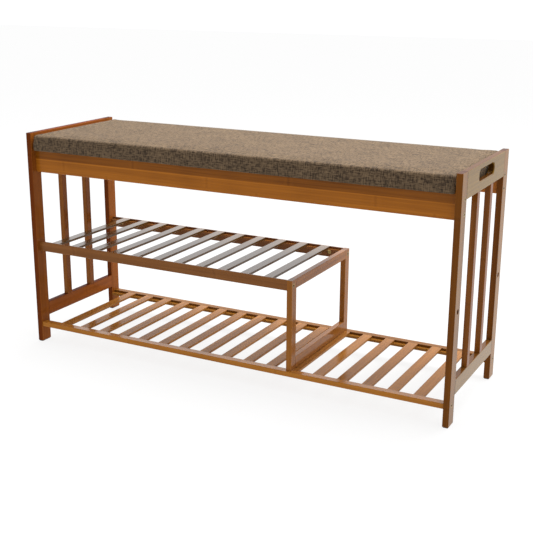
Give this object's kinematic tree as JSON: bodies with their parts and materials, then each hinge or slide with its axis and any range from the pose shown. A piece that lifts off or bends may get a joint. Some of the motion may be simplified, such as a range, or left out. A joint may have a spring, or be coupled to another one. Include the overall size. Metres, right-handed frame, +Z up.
{
  "type": "entryway bench",
  "caption": "Long low bench with an upholstered seat, slatted ladder ends with hand slots, a full slatted lower shelf and a part-length upper shelf beside an open boot bay.",
  "frame": {"origin": "centre of the footprint, on the floor", "axes": "+X towards the end with the boot bay, +Y to the rear, +Z up"},
  "size_m": [1, 0.306, 0.492],
  "materials": {
    "bamboo": "orange-brown stain under satin lacquer, fine lengthwise strips",
    "bamboo_slat": "brown stain under satin lacquer, fine lengthwise strips",
    "seat_fabric": "brown melange linen-look weave",
    "foam": "open-cell seat foam",
    "plywood": "raw plywood",
    "brass_plated_steel": "yellow zinc plate",
    "zinc_screw": "zinc plate",
    "felt": "dark pressed felt"
  },
  "bodies": {
    "root": {"barrel_nuts": "brass_plated_steel", "bolts": "brass_plated_steel", "divider_bottom_rail": "bamboo", "divider_front_post": "bamboo", "divider_rear_post": "bamboo", "divider_top_rail": "bamboo", "foot_pads": "felt", "front_apron": "bamboo", "left_bottom_rail": "bamboo", "left_front_end_slat": "bamboo_slat", "left_front_leg": "bamboo", "left_handle_board": "bamboo", "left_rear_end_slat": "bamboo_slat", "left_rear_leg": "bamboo", "lower_front_rail": "bamboo", "lower_rear_rail": "bamboo", "lower_slat_01": "bamboo_slat", "lower_slat_02": "bamboo_slat", "lower_slat_03": "bamboo_slat", "lower_slat_04": "bamboo_slat", "lower_slat_05": "bamboo_slat", "lower_slat_06": "bamboo_slat", "lower_slat_07": "bamboo_slat", "lower_slat_08": "bamboo_slat", "lower_slat_09": "bamboo_slat", "lower_slat_10": "bamboo_slat", "lower_slat_11": "bamboo_slat", "lower_slat_12": "bamboo_slat", "lower_slat_13": "bamboo_slat", "lower_slat_14": "bamboo_slat", "lower_slat_15": "bamboo_slat", "lower_slat_16": "bamboo_slat", "lower_slat_17": "bamboo_slat", "rear_apron": "bamboo", "right_bottom_rail": "bamboo", "right_front_end_slat": "bamboo_slat", "right_front_leg": "bamboo", "right_handle_board": "bamboo", "right_rear_end_slat": "bamboo_slat", "right_rear_leg": "bamboo", "seat_batten_1": "bamboo", "seat_batten_2": "bamboo", "seat_batten_3": "bamboo", "seat_board": "plywood", "seat_cover": "seat_fabric", "seat_foam": "foam", "upper_front_rail": "bamboo", "upper_rear_rail": "bamboo", "upper_slat_01": "bamboo_slat", "upper_slat_02": "bamboo_slat", "upper_slat_03": "bamboo_slat", "upper_slat_04": "bamboo_slat", "upper_slat_05": "bamboo_slat", "upper_slat_06": "bamboo_slat", "upper_slat_07": "bamboo_slat", "upper_slat_08": "bamboo_slat", "upper_slat_09": "bamboo_slat", "upper_slat_10": "bamboo_slat", "upper_slat_11": "bamboo_slat", "wood_screws": "zinc_screw"}
  },
  "joints": []
}
